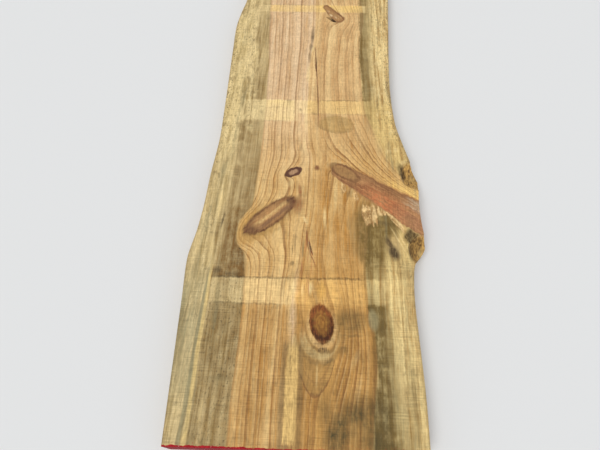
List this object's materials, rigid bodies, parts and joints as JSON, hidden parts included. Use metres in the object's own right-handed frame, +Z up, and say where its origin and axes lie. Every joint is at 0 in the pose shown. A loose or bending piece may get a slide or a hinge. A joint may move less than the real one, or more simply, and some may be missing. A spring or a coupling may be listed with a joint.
{
  "type": "live-edge timber plank",
  "caption": "Wide live-edge softwood slab sawn through the pith, with flat sawn faces, wavy wane edges, a branch collar swelling and one red sealed end.",
  "frame": {"origin": "centre of the bounding box at its bottom, on the floor under the middle of the slab", "axes": "+Y along the grain from the red sealed end to the plain end, +X across the slab towards the branch collar, +Z up out of the face that was sawn at the pith"},
  "size_m": [0.649, 2.44, 0.06],
  "materials": {
    "pine": "sawn and unplaned, air dried, red sealer on one end"
  },
  "bodies": {
    "root": {"slab": "pine"}
  },
  "joints": []
}
